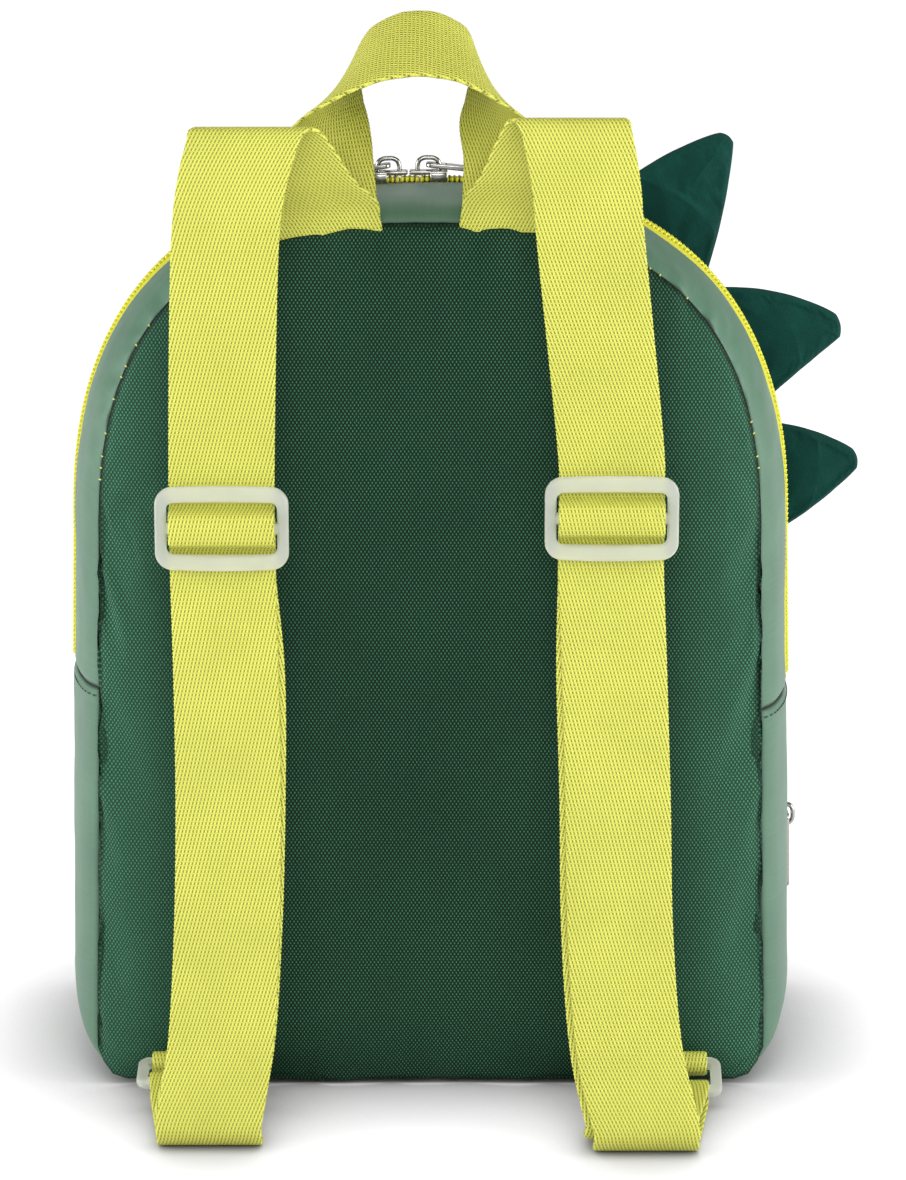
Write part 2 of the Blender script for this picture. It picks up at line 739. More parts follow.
def thread_material(name):
    """Sewing thread, twisted."""
    webbing = bpy.context.scene.backpack_webbing
    looks = Looks(name)
    fibres = looks.noise(looks.object_place(), 3.0)
    colour = looks.between(fibres, shaded(webbing.colour, 0.5), shaded(webbing.colour, 0.9))
    return looks.set(Base_Color=colour, Roughness=0.7, Normal=looks.bump(fibres, 0.1, 0.5))


def dark_thread_material(name):
    """Dark green sewing thread."""
    cloth = bpy.context.scene.backpack_cloth
    looks = Looks(name)
    fibres = looks.noise(looks.object_place(), 3.0)
    colour = looks.between(fibres, shaded(cloth.side_colour, 0.18), shaded(cloth.side_colour, 0.4))
    return looks.set(Base_Color=colour, Roughness=0.8, Normal=looks.bump(fibres, 0.1, 0.5))


def plastic_material(name):
    """Frosted plastic that lets the webbing glow through."""
    hardware = bpy.context.scene.backpack_hardware
    looks = Looks(name)
    grain = looks.noise(looks.object_place(), 1.6, 4.0)
    cloudy = looks.noise(looks.object_place(), 0.15)
    colour = looks.between(cloudy, shaded(hardware.plastic_colour, 0.93), shaded(hardware.plastic_colour, 1.05))
    rough = looks.range(grain, 0.3, 0.7, 0.36, 0.44)
    return looks.set(Base_Color=colour, Roughness=rough, Transmission_Weight=0.68, IOR=1.35,
                     Normal=looks.bump(cloudy, 0.1, 0.3))


def metal_material(name):
    """Bright plated metal with faint brushing."""
    hardware = bpy.context.scene.backpack_hardware
    looks = Looks(name)
    brushed = looks.noise(looks.node("ShaderNodeMapping", {
        "Vector": looks.object_place(), "Scale": (0.4, 3.0, 3.0)}).outputs[0], 1.0, 4.0)
    colour = looks.between(brushed, shaded(hardware.metal_colour, 0.9), opaque(hardware.metal_colour))
    rough = looks.range(brushed, 0.3, 0.7, 0.16, 0.3)
    return looks.set(Base_Color=colour, Roughness=rough, Metallic=1.0, Normal=looks.bump(brushed, 0.01, 0.3))


# The floor's soft shadow under the bag: how far it reaches and how steeply it falls off, and the paper's glow
FLOOR_SHADOW = {"reach": 48, "falloff": 1.7, "glow": 0.97}


def floor_material(name):
    """Plain pale paper."""
    looks = Looks(name)
    place = looks.object_place()
    grain = looks.noise(place, 0.8)
    colour = looks.between(grain, (0.24, 0.24, 0.24, 1), (0.26, 0.26, 0.26, 1))
    reach = FLOOR_SHADOW["reach"] * MM
    open_share = looks.node("ShaderNodeAmbientOcclusion", {"Distance": reach}).outputs["AO"]
    glow = looks.sum("MULTIPLY", looks.sum("POWER", open_share, FLOOR_SHADOW["falloff"]), FLOOR_SHADOW["glow"])
    return looks.set(Base_Color=colour, Roughness=0.9, Emission_Color=(1, 1, 1, 1), Emission_Strength=glow)


# Bands of webbing: steps along a band, points round it and how far its edge swells at each turn of the weft

BAND_SPACING = 0.45
BAND_AROUND = 28
BAND_SCALLOP = 0.13


def curve_point(points, k, t):
    """A point of a smooth curve through points, on the span after point k."""
    before = points[k - 1] if k > 0 else 2 * points[0] - points[1]
    after = points[k + 2] if k + 2 < len(points) else 2 * points[-1] - points[-2]
    start, end = points[k], points[k + 1]
    d0, d1, d2 = (max(np.linalg.norm(b - a), 1e-8) ** 0.5
                  for a, b in ((before, start), (start, end), (end, after)))
    leave = ((start - before) / d0 - (end - before) / (d0 + d1) + (end - start) / d1) * d1
    arrive = ((end - start) / d1 - (after - start) / (d1 + d2) + (after - end) / d2) * d1
    return (start * (1 + 2 * t) * (1 - t) ** 2 + leave * t * (1 - t) ** 2
            + end * (3 - 2 * t) * t ** 2 + arrive * (t - 1) * t ** 2)


def smooth_path(points, directions, spacing):
    """Evenly spaced points on the curve through points, with the row directions that go with them."""
    fine = 24
    dense, rows = [], []
    for k in range(len(points) - 1):
        for i in range(fine):
            t = i / fine
            dense.append(curve_point(points, k, t))
            rows.append(directions[k] * (1 - t) + directions[k + 1] * t)
    dense.append(points[-1])
    rows.append(directions[-1])
    joined = np.hstack([np.array(dense), np.array(rows)])
    steps = np.linalg.norm(np.diff(joined[:, :3], axis=0), axis=1)
    along = np.concatenate([[0], np.cumsum(steps)])
    places = np.linspace(0, along[-1], int(along[-1] / spacing) + 1)
    spread = np.column_stack([np.interp(places, along, column) for column in joined.T])
    return spread[:, :3], spread[:, 3:], places


def band_profile(width, thickness, around):
    """Points (across, out) round a flat band with full, slightly raised edges."""
    flat = (around - 8) // 2
    half = width / 2 - thickness / 2
    top = [(x, thickness / 2) for x in np.linspace(-half, half, flat)]
    turn = np.linspace(math.pi / 2, -math.pi / 2, 6)[1:-1]
    right = [(half + math.cos(a) * thickness / 2, math.sin(a) * thickness / 2) for a in turn]
    ring = top + right
    return np.array(ring + [(-x, -out) for x, out in ring] + [ring[0]])


def band_surface(points, directions, spacing, width, thickness, around, scallop, pitch):
    """Rows of points round a band that follows a path, its edges bumpy where the weft turns."""
    centres, widths, along = smooth_path(points, directions, spacing)
    tangents = np.gradient(centres, axis=0)
    tangents /= np.linalg.norm(tangents, axis=1, keepdims=True)
    widths = widths / np.linalg.norm(widths, axis=1, keepdims=True)
    normals = np.cross(tangents, widths)
    reach = np.linalg.norm(normals, axis=1, keepdims=True)
    widths = widths / reach
    normals = normals / reach
    profile = band_profile(width, thickness, around)
    bumps = scallop * np.cos(2 * math.pi * along / pitch)[:, None]
    edge = np.clip((np.abs(profile[:, 0]) - (width / 2 - 1.2)) / 1.2, 0, 1)[None, :]
    across = profile[None, :, 0] + np.sign(profile[None, :, 0]) * edge * bumps
    surface = (centres[:, None] + widths[:, None] * across[..., None]
               + normals[:, None] * profile[None, :, 1, None])
    uv = np.stack(np.broadcast_arrays(profile[None, :, 0] + width, along[:, None]), axis=2)
    return surface, uv


def closed_band(surface, uv):
    """A band's mesh, joined along its length and closed at both ends."""
    mesh = grid_bmesh(surface, uv)
    bmesh.ops.remove_doubles(mesh, verts=mesh.verts, dist=WELD)
    bmesh.ops.holes_fill(mesh, edges=[edge for edge in mesh.edges if edge.is_boundary], sides=0)
    outward(mesh)
    return mesh


def webbing_piece(name, points, directions, node, slant=1):
    """A closed band of webbing along a path."""
    webbing = bpy.context.scene.backpack_webbing
    surface, uv = band_surface(points, directions, BAND_SPACING, webbing.width, webbing.thickness,
                               BAND_AROUND, BAND_SCALLOP, webbing.rib_pitch)
    mesh = closed_band(surface, uv)
    look = material_once("webbing_right" if slant < 0 else "webbing_left",
                         lambda made: webbing_material(made, slant))
    return stands_for(finish_piece(mesh, name, look), node, slot="lime_webbing")


# Places of the webbing, as in the frame

WEBBING_THICK = 1.4
SEAM_MIDDLE = -2.9
SEAM_SPREAD = 28
ADJUSTER_Y = -68.5
RING_PLACE = (-56.4, 10.5)
FOLD_RADIUS = 7.3
INNER_FOLD = {"radius": 6, "behind": 4.6, "above": 2.4}
STRAP_REACH = 26.5
FLOOR_CLEARANCE = 0.15
WRAP_GAP = 0.45
ADJUSTER = {"width": 39.2, "height": 25, "side": 3.4, "end": 4.6, "mid": 3.4, "thick": 3, "corner": 5}
RING = {"width": 39.5, "height": 15.5, "bar": 3.4, "thick": 3, "corner": 3.5}
LAYER_PITCH = WEBBING_THICK + GAP
STRAP_BASE_Y = MAIN.sizes["back_y"] - GAP - WEBBING_THICK / 2
HANDLE_BASE_Y = STRAP_BASE_Y + LAYER_PITCH

SIDES = {
    "left": {"base": -30.4, "hang": -58.3, "slide": -60.7, "calf": -59.3, "fold": -64.9, "inner": -65.6,
             "ring": -69.1, "rise": 32, "slide_z": 180.4, "fold_y": -103.8, "inner_high": 2, "inner_low": 0,
             "ring_tilt": 10, "slant": 1},
    "right": {"base": 24.9, "hang": 46.2, "slide": 53.3, "calf": 55.4, "fold": 63.7, "inner": 61.3,
              "ring": 68.7, "rise": 34, "slide_z": 183.4, "fold_y": -108.4, "inner_high": -1.5, "inner_low": -2,
              "ring_tilt": 25, "slant": -1},
}

# Arch of a shoulder strap: shares of its reach, rise and sideways lean
ARCH_STEPS = [
    (0.0, -0.11, -0.06), (0.07, 0.16, 0.05), (0.24, 0.42, 0.28), (0.42, 0.74, 0.5), (0.62, 0.96, 0.68),
    (0.82, 0.97, 0.77), (0.96, 0.76, 0.86), (1.0, 0.42, 0.95), (1.0, 0.05, 1.0),
]

# Run from slide to fold: shares of the drop, the way out, the sideways shift and the bend to the fold
FRONT_RUN = [(0.18, 0.1, 0.5, 0.0), (0.42, 0.35, 1.0, 0.0), (0.66, 0.63, 1.0, 0.08), (0.86, 0.87, 1.0, 0.4)]

# Grab handle from its left base to the crown: across, rise, back, and the way that its width points
HANDLE = {"height": 52.5, "setback": 6, "right_in": 0.13}
HANDLE_STEPS = [
    (1.0, -0.15, 0.0, 1.0, 0.0, 0.0),
    (1.0, 0.12, 0.05, 1.0, 0.06, 0.02),
    (1.0, 0.4, 0.3, 0.9, 0.42, 0.0),
    (0.93, 0.62, 0.7, 0.55, 0.82, 0.08),
    (0.8, 0.79, 0.9, 0.2, 0.93, 0.25),
    (0.54, 0.92, 1.0, 0.06, 0.9, 0.42),
    (0.18, 0.99, 1.0, 0.01, 0.86, 0.51),
]


def mix(low, high, share):
    return low + (high - low) * share


def seam_top(x):
    return Section(MAIN, 0).top_height(x)


def strap_arch(side):
    base_z = seam_top(side["base"])
    return [(mix(side["base"], side["hang"], lean), STRAP_BASE_Y - STRAP_REACH * reach,
             base_z + side["rise"] * rise) for reach, rise, lean in ARCH_STEPS]


SLIDE_FACE = ADJUSTER["thick"] / 2 + GAP + WEBBING_THICK / 2
SLIDE_MID = ADJUSTER["mid"] / 2
SLIDE_LOW = ADJUSTER["height"] / 2 + 2.5


def at_slide(side, way):
    """Points beside the slide, from distances outwards and up."""
    return [(side["slide"], ADJUSTER_Y - out, side["slide_z"] + up) for out, up in way]


def through_slide(side):
    """Behind the top bar, over the middle bar and behind the bottom bar."""
    bar = ADJUSTER["thick"] / 2
    over = SLIDE_FACE + LAYER_PITCH
    around = over - bar
    slant = math.sqrt(0.5) * around
    slot_edge = ADJUSTER["height"] / 2 - ADJUSTER["end"]
    upper = [
        (-SLIDE_FACE, SLIDE_LOW), (-SLIDE_FACE, slot_edge + ADJUSTER["end"] / 2), (-SLIDE_FACE, slot_edge - 0.3),
        (-1.1, slot_edge - 2.5), (bar, SLIDE_MID + around), (bar + slant, SLIDE_MID + slant), (over, SLIDE_MID),
    ]
    return at_slide(side, upper + [(out, -up) for out, up in reversed(upper)])


FLOOR_LAYER = FLOOR_CLEARANCE + WEBBING_THICK / 2
FOLD_CENTRE = FLOOR_LAYER + FOLD_RADIUS
WRAP_RADIUS = RING["bar"] / 2 + WRAP_GAP + WEBBING_THICK / 2
RING_SPAN = RING["height"] - RING["bar"]


def round_bar(x, y, z, radius, turns):
    """Points on a circle round a bar along X, with 0 degrees towards the front."""
    return [(x, y + radius * math.cos(math.radians(t)), z + radius * math.sin(math.radians(t))) for t in turns]


def ring_low(side):
    """The ring's lower bar."""
    tilt = math.radians(side["ring_tilt"])
    return RING_PLACE[0] - RING_SPAN * math.cos(tilt), RING_PLACE[1] - RING_SPAN * math.sin(tilt)


def run_point(side, step, aside, behind):
    drop, out, shift, bend = step
    straight = mix(side["slide"], side["calf"], shift)
    return (straight + (side["fold"] - side["calf"]) * bend + aside,
            mix(ADJUSTER_Y + SLIDE_FACE, side["fold_y"], out) + behind,
            mix(side["slide_z"] - SLIDE_LOW, FOLD_CENTRE, drop))


def along_floor(side):
    y, z = ring_low(side)
    start = side["fold_y"] + FOLD_RADIUS
    return [(mix(side["fold"], side["ring"], share), mix(start, y, share),
             mix(FLOOR_LAYER, z - WRAP_RADIUS, share ** 2)) for share in (0.35, 0.7)]


def inner_fold(side):
    """The inner layer leaves the ring, droops over the outer one and turns up behind it."""
    y = side["fold_y"] + INNER_FOLD["behind"] + INNER_FOLD["radius"]
    z = FLOOR_LAYER + INNER_FOLD["above"] + INNER_FOLD["radius"]
    droop = (mix(side["ring"], side["inner"], 0.5), mix(ring_low(side)[0], y, 0.55),
             z - INNER_FOLD["radius"] + 1.3)
    return [droop] + round_bar(side["inner"], y, z, INNER_FOLD["radius"], (275, 250, 225, 200, 180))


def inner_run(side):
    return [run_point(side, step, mix(side["inner_high"], side["inner_low"], step[1]),
                      mix(LAYER_PITCH + 0.3, INNER_FOLD["behind"], step[1])) for step in reversed(FRONT_RUN)]


def end_loop(side):
    """Up behind the slide, round its middle bar and down again."""
    bar = ADJUSTER["thick"] / 2
    behind = SLIDE_FACE + LAYER_PITCH
    around = SLIDE_FACE - bar
    slant = math.sqrt(0.5) * around
    low = SLIDE_MID + around
    tail = behind + LAYER_PITCH
    half = ADJUSTER["height"] / 2
    return at_slide(side, [
        (-behind, -half - 2.5), (-behind, -half + 4.5), (-behind + 0.6, -low - 2.6), (-behind + 2.0, -low - 0.9),
        (-0.2, -low), (bar, -low), (bar + slant, -SLIDE_MID - slant), (SLIDE_FACE, -SLIDE_MID),
        (SLIDE_FACE, SLIDE_MID), (bar + slant, SLIDE_MID + slant), (bar, low), (-bar, low),
        (-SLIDE_FACE - 0.6, SLIDE_MID + 0.2), (-behind - 0.2, -SLIDE_MID + 0.6), (-tail + 0.4, -SLIDE_MID - 3.4),
        (-tail, -SLIDE_MID - 7), (-tail - 0.3, -half - 8),
    ])


def strap_path(side):
    y, z = ring_low(side)
    fold_y = side["fold_y"] + FOLD_RADIUS
    return (
        strap_arch(side)
        + through_slide(side)
        + [run_point(side, step, 0, 0) for step in FRONT_RUN]
        + round_bar(side["fold"], fold_y, FOLD_CENTRE, FOLD_RADIUS, (180, 205, 230, 250, 270))
        + along_floor(side)
        + round_bar(side["ring"], y, z, WRAP_RADIUS, (-90, -55, -20, 15, 50, 85, 110))
        + inner_fold(side)
        + inner_run(side)
        + end_loop(side)
    )


def tab_path(side):
    """The short tab from the back seam round the ring's upper bar."""
    x = side["ring"]
    seam = MAIN.sizes["back_y"]
    y, z = RING_PLACE
    return (
        [(x, seam + 3, 1.9), (x, mix(seam, y, 0.35), 4.4)]
        + round_bar(x, y, z, WRAP_RADIUS, (232, 205, 175, 145, 115, 85, 62))
        + [(x, mix(seam, y, 0.42), 9.6), (x, seam + 3, 5.6)]
    )


def handle_path():
    """Points of the grab handle and the ways that its width points."""
    base_z = seam_top(SEAM_MIDDLE + SEAM_SPREAD)
    points, widths = [], []
    for sign, steps in ((1, HANDLE_STEPS), (-1, HANDLE_STEPS[::-1])):
        for across, rise, back, side, rear, up in steps:
            bend = math.sin(math.pi * min(max((rise - 0.35) / 0.65, 0), 1)) if sign < 0 else 0
            out = SEAM_SPREAD * across * (1 - HANDLE["right_in"] * bend)
            points.append((SEAM_MIDDLE - sign * out, HANDLE_BASE_Y + HANDLE["setback"] * back,
                           base_z + HANDLE["height"] * rise))
            widths.append((sign * side, rear, up))
    return np.array(points), np.array(widths)


def level_band(name, points, node, slant):
    points = np.array(points)
    return webbing_piece(name, points, np.tile([1.0, 0.0, 0.0], (len(points), 1)), node, slant)


# Panels

FRONT_DOME = (3, 26)
POCKET_DOME = (3.5, 22)


CLOTH_FRAMES = 20
CLOTH = {"mass": 0.15, "quality": 5, "tension_stiffness": 12, "compression_stiffness": 12,
         "bending_stiffness": 0.4}


def padded_cloth(piece, pinned, pressure, slack, most):
    """Blows a piece of cloth up a little by simulation, and keeps each point near its start.

    pinned gives each vertex's hold from 0 to 1, slack is the share by which the cloth is too large, and most is
    the furthest that a point may move.
    """
    scene = bpy.context.scene
    hold = piece.vertex_groups.new(name="hold")
    for vertex in piece.data.vertices:
        if pinned[vertex.index] > 0:
            hold.add([vertex.index], float(pinned[vertex.index]), "REPLACE")
    cloth = piece.modifiers.new("Cloth", "CLOTH")
    cloth.settings.vertex_group_mass = "hold"
    cloth.settings.use_pressure = True
    cloth.settings.uniform_pressure_force = pressure
    cloth.settings.shrink_min = -slack
    for key, value in CLOTH.items():
        setattr(cloth.settings, key, value)
    cloth.settings.effector_weights.gravity = 0
    cloth.point_cache.frame_start = 1
    cloth.point_cache.frame_end = CLOTH_FRAMES
    for number in range(1, CLOTH_FRAMES + 1):
        scene.frame_set(number)
    moved = piece.evaluated_get(bpy.context.evaluated_depsgraph_get()).to_mesh()
    limit = most * MM
    for vertex, after in zip(piece.data.vertices, moved.vertices):
        step = after.co - vertex.co
        length = step.length
        if length > 1e-9:
            vertex.co += step * (limit * math.tanh(length / limit) / length)
    piece.modifiers.remove(cloth)
    piece.vertex_groups.clear()
    scene.frame_set(1)


# The back pad: its step up at the seam, then its roll
PAD_STEP = {"high": 1.4, "wide": 1.2}
PAD_ROLL = {"high": 4.0, "wide": 26}


def back_pad():
    """The padded back panel, rolled round its edge and drawn in at its seam."""
    section = Section(MAIN, 0)
    curves = side_curves(section)
    grid = filled(curves, 110, 140)
    distance = edge_distance(grid, curves)
    step = PAD_STEP["high"] * np.clip(distance / PAD_STEP["wide"], 0, 1)
    rise = step + PAD_ROLL["high"] * dome(distance, PAD_ROLL["wide"])
    flat = np.dstack([grid[..., 0], grid[..., 1], np.zeros(grid.shape[:2])])
    puckers = noise_at(flat, (8, 60, 1), 41.0) * np.exp(-distance / 12)
    gathers = noise_at(flat, (9, 150, 1), 43.0) * 3.4 * np.exp((grid[..., 1] - section.top) / 18)
    hollows = noise_at(flat, (40, 52, 1), 42.0) * 0.8
    rise += (puckers + gathers + hollows) * (1 - np.exp(-distance / FLAT_EDGE))
    surface = np.dstack([grid[..., 0], section.y - rise, grid[..., 1]])
    mesh = grid_bmesh(surface, grid, distance)
    piece = finish_piece(mesh, "back_panel_pad", material_once("dark_green_mesh", panel_material))
    pinned = [1.0 if point.value < 0.5 else 0.0 for point in piece.data.attributes["from_seam"].data]
    padded_cloth(piece, pinned, pressure=2.5, slack=0.008, most=1.8)
    close_behind(piece, section.y)
    stands_for(piece, "back_panel", slot="dark_green_weave")


def close_behind(piece, y):
    """Closes a pad with a flat back at its seam, with a sharp edge between them."""
    mesh = bmesh.new()
    mesh.from_mesh(piece.data)
    rim = [edge for edge in mesh.edges if edge.is_boundary]
    made = bmesh.ops.contextual_create(mesh, geom=rim)["faces"]
    for edge in rim:
        edge.smooth = False
    for face in made:
        face.smooth = False
    outward(mesh)
    mesh.to_mesh(piece.data)
    mesh.free()


def front_wall(node, shape, look, dome_size, seed):
    """A plain wall at the front of a bag form, slightly domed, its edge turned in to the seam."""
    section = Section(shape, 1)
    curves = side_curves(section)
    grid = filled(curves, 110, 120)
    distance = edge_distance(grid, curves)
    height, roll = dome_size
    base = section.y + GAP + FABRIC
    flat = np.dstack([grid[..., 0], grid[..., 1], np.zeros(grid.shape[:2])])
    soft = noise_at(flat, (38, 30, 1), seed) * 0.8 + noise_at(flat, (9, 9, 1), seed + 3) * 0.15
    pucker = noise_at(flat, (6, 6, 1), seed + 5) * 0.5 * np.exp(-distance / 6)
    rise = height * dome(distance, roll) + (soft + pucker) * (1 - np.exp(-distance / 3))
    rise -= 1.2 * np.exp(-((distance / 1.3) ** 2))
    surface = np.dstack([grid[..., 0], base + rise, grid[..., 1]])[:, ::-1]
    mesh = grid_bmesh(surface, grid[:, ::-1], distance[:, ::-1])
    piece = thickened(finish_piece(mesh, node + "_cloth", look), FABRIC)
    return stands_for(piece, node, slot="sage_cloth")


# Spikes

SPIKE_THICK = 13
SEAM_POINTS = 40

# Each spike's middle on the front seam as a turn round the top arch, the length of its sewn base, its tip and the
# tip's width, and how far its upper and lower sides bulge
SPIKES = {
    "spike_top": {"turn": 54, "base": 42, "tip": (91.4, 282.0), "blunt": 5.5, "upper": 3.0, "lower": 1.4},
    "spike_middle": {"turn": 26.5, "base": 41, "tip": (127.2, 223.2), "blunt": 7.5, "upper": 3.2, "lower": -0.2},
    "spike_low": {"turn": 3, "base": 37, "tip": (133.4, 180.8), "blunt": 6.5, "upper": 1.8, "lower": 1.3},
}


def bulged(start, end, bulge):
    """A path between two points that swells to the left of the way by bulge."""
    start, end = np.array(start, float), np.array(end, float)
    way = end - start
    aside = np.array([-way[1], way[0]]) / np.linalg.norm(way)
    t = np.linspace(0, 1, SEAM_POINTS)[:, None]
    return start + way * t + aside * bulge * np.sin(np.pi * t) ** 0.8


def seam_stretch(turn, length):
    """Points along the front seam, centred on a turn of the top arch."""
    section = Section(MAIN, 1)
    half = section.half_outline()
    steps = np.linalg.norm(np.diff(half, axis=0), axis=1)
    along = np.concatenate([[0], np.cumsum(steps)])
    arch = section.top - section.arch_start
    z = section.arch_start + arch * math.sin(math.radians(turn)) ** (2 / section.power)
    middle = np.interp(z, half[:, 1], along)
    places = np.linspace(middle - length / 2, middle + length / 2, SEAM_POINTS)
    return np.column_stack([np.interp(places, along, half[:, 0]), np.interp(places, along, half[:, 1])])


def spike_outline(spike):
    """Four curves round a spike: the sewn base, the upper side, the blunt tip and the lower side."""
    base = seam_stretch(spike["turn"], spike["base"])
    tip = np.array(spike["tip"])
    lean = tip - base.mean(axis=0)
    aside = np.array([-lean[1], lean[0]]) / np.linalg.norm(lean) * spike["blunt"] / 2
    upper = bulged(base[-1], tip + aside, spike["upper"])
    lower = bulged(tip - aside, base[0], spike["lower"])[::-1]
    end = bulged(tip - aside, tip + aside, -0.9)
    return base, upper, end, lower


def stuffed_spike(name, spike):
    """Two faces of cloth, sewn together round their edge and stuffed."""
    curves = spike_outline(spike)
    grid = filled(curves, 44, 48)
    distance = edge_distance(grid, curves)
    from_base = np.linalg.norm(grid - grid[:1], axis=2)
    swell = SPIKE_THICK / 2 * 0.72 * dome(distance, 13) * mix(0.5, 1.0, np.clip(from_base / 16, 0, 1))
    near = np.dstack([grid[..., 0], MAIN_FRONT_Y - swell - 0.02, grid[..., 1]])
    far = np.dstack([grid[..., 0], MAIN_FRONT_Y + swell + 0.02, grid[..., 1]])
    mesh = grid_bmesh(near, grid)
    join_into(mesh, grid_bmesh(far, grid))
    bmesh.ops.remove_doubles(mesh, verts=mesh.verts, dist=0.06 * MM)
    outward(mesh)
    piece = finish_piece(mesh, name + "_stuffed", material_once("teal_brushed", spike_material))
    seam = np.vstack(curves)
    pinned = [1.0 if np.min(np.hypot(seam[:, 0] - v.co.x / MM, seam[:, 1] - v.co.z / MM)) < 0.9 else 0.0
              for v in piece.data.vertices]
    padded_cloth(piece, pinned, pressure=4.0, slack=0.02, most=1.6)
    finer = piece.modifiers.new("Finer", "SUBSURF")
    finer.levels = 1
    finer.render_levels = 1
    stands_for(piece, name, slot="teal_cloth")


# Zippers

MAIN_TAPE = 26
POCKET_TAPE = 13
TAPE_THICK = 1.0
COIL = {"pitch": 1.5, "reach": 2.9, "wide": 1.0, "high": 1.5, "slant": 10}


def zipper(node, shape, join, zip_at, tape_width):
    """The tape in its strip, and a coil of teeth along its middle."""
    depth = shape.sizes["depth"]
    half = tape_width / 2 / depth
    surface = strip_surface(shape, upper_arc, join, zip_at - half, zip_at + half, 27, 300, TAPE_LEVEL)
    surface, normals = facing_out(surface)
    across = np.abs(np.linspace(-1, 1, len(surface))) * tape_width / 2
    raised = np.clip((ZIP_WINDOW / 2 + 1 - across) / 2, 0, 1)[:, None]
    rise = TAPE_LEVEL + TAPE_PROUD - 0.4
    surface = surface + normals * (raised * rise * beside_sliders(surface))[..., None]
    tape = finish_piece(grid_bmesh(surface), node + "_tape", material_once("zipper_tape", tape_material))
    stands_for(thickened(tape, TAPE_THICK), node, slot="lime_zipper")
    coil = finish_piece(coil_teeth(shape, join, zip_at), node + "_coil",
                        material_once("zipper_coil", coil_material))
    stands_for(coil, slot="lime_zipper")


def beside_sliders(points):
    """How far a zipper may rise at each point: not at all near the sliders at the top."""
    return np.clip((np.abs(points[..., 0]) - 26) / 20, 0, 1)


def coil_teeth(shape, join, zip_at):
    """Rounded bars from both sides that meet in the middle of the zipper."""
    section = Section(shape, zip_at, COIL["high"] / 2 - COIL_PROUD)
    path = upper_arc(section, join)
    length = np.sum(np.linalg.norm(np.diff(path, axis=0), axis=1))
    path = placed(respaced(path, int(length / COIL["pitch"] * 2)), section.y)
    ways = np.gradient(path, axis=0)
    mesh = bmesh.new()
    for k in range(2, len(path) - 2):
        side = 1 if k % 2 else -1
        along = Vector(ways[k]).normalized()
        across = Vector((0, 1, 0))
        off = along.cross(across)
        turn = Matrix.Rotation(math.radians(side * COIL["slant"]), 4, off)
        basis = frame_of(along, across, off, (0, 0, 0))
        rise = off * (TAPE_PROUD * float(beside_sliders(path[k])))
        centre = Vector(path[k]) + across * (side * COIL["reach"] * 0.42) + rise
        place = Matrix.Translation(centre * MM) @ turn @ basis
        add_bar(mesh, place, (COIL["wide"], COIL["reach"] * 1.1, COIL["high"]), 0.35, 1)
    return mesh


def add_bar(mesh, place, size, rounding, segments=2):
    """Adds a bar with rounded edges, sized in its own frame."""
    scale = Matrix.Diagonal((*[value * MM for value in size], 1))
    made = bmesh.ops.create_cube(mesh, size=1, matrix=place @ scale)["verts"]
    edges = list({edge for vertex in made for edge in vertex.link_edges})
    bmesh.ops.bevel(mesh, geom=edges, offset=rounding * MM, segments=segments, profile=0.5, affect="EDGES",
                    material=-1)


# Plastic hardware

LOOP_STRAIGHT = 10
LOOP_TURN = 8


def rounded_loop(width, height, radius, centre_x=0.0, bow=0.0):
    """Points round a rectangle with round corners, the same number for any size. bow swells its long sides."""
    points = []
    corners = [(1, 1, 0), (-1, 1, 90), (-1, -1, 180), (1, -1, 270)]
    for x_sign, y_sign, first in corners:
        for i in range(LOOP_TURN + 1):
            angle = math.radians(first + 90 * i / LOOP_TURN)
            points.append((x_sign * (width / 2 - radius) + radius * math.cos(angle),
                           y_sign * (height / 2 - radius) + radius * math.sin(angle)))
    found = []
    for k, point in enumerate(points):
        found.append(point)
        if k % (LOOP_TURN + 1) == LOOP_TURN:
            after = points[(k + 1) % len(points)]
            for i in range(1, LOOP_STRAIGHT):
                found.append(tuple(mix(point[axis], after[axis], i / LOOP_STRAIGHT) for axis in (0, 1)))
    return [(x + centre_x, y + math.copysign(bow * max(1 - (2 * x / width) ** 2, 0), y)) for x, y in found]


def moulded_frame(outer, inner, thick, rounding):
    """A closed frame between two loops of points, flat in X and Y, with rounded edges."""
    turns = [math.radians(angle) for angle in (0, 22.5, 45, 67.5, 90)]
    flat = thick / 2 - rounding
    edge = [(rounding * (1 - math.cos(turn)), flat + rounding * math.sin(turn)) for turn in turns]
    rows = []
    for start, end in zip(inner, outer):
        start, end = np.array(start), np.array(end)
        way = (end - start) / np.linalg.norm(end - start)
        upper = [(*(start + way * inset), up) for inset, up in edge]
        upper += [(*(end - way * inset), up) for inset, up in reversed(edge)]
        lower = [(x, y, -up) for x, y, up in reversed(upper)]
        rows.append(upper + lower + upper[:1])
    rows.append(rows[0])
    mesh = grid_bmesh(np.array(rows))
    bmesh.ops.remove_doubles(mesh, verts=mesh.verts, dist=WELD)
    outward(mesh)
    return mesh


def plastic_piece(mesh, node):
    """Makes a moulded mesh the piece that stands for a node."""
    look = material_once("frosted_plastic_looks", plastic_material)
    return stands_for(finish_piece(mesh, node + "_moulded", look), node, slot="frosted_plastic")


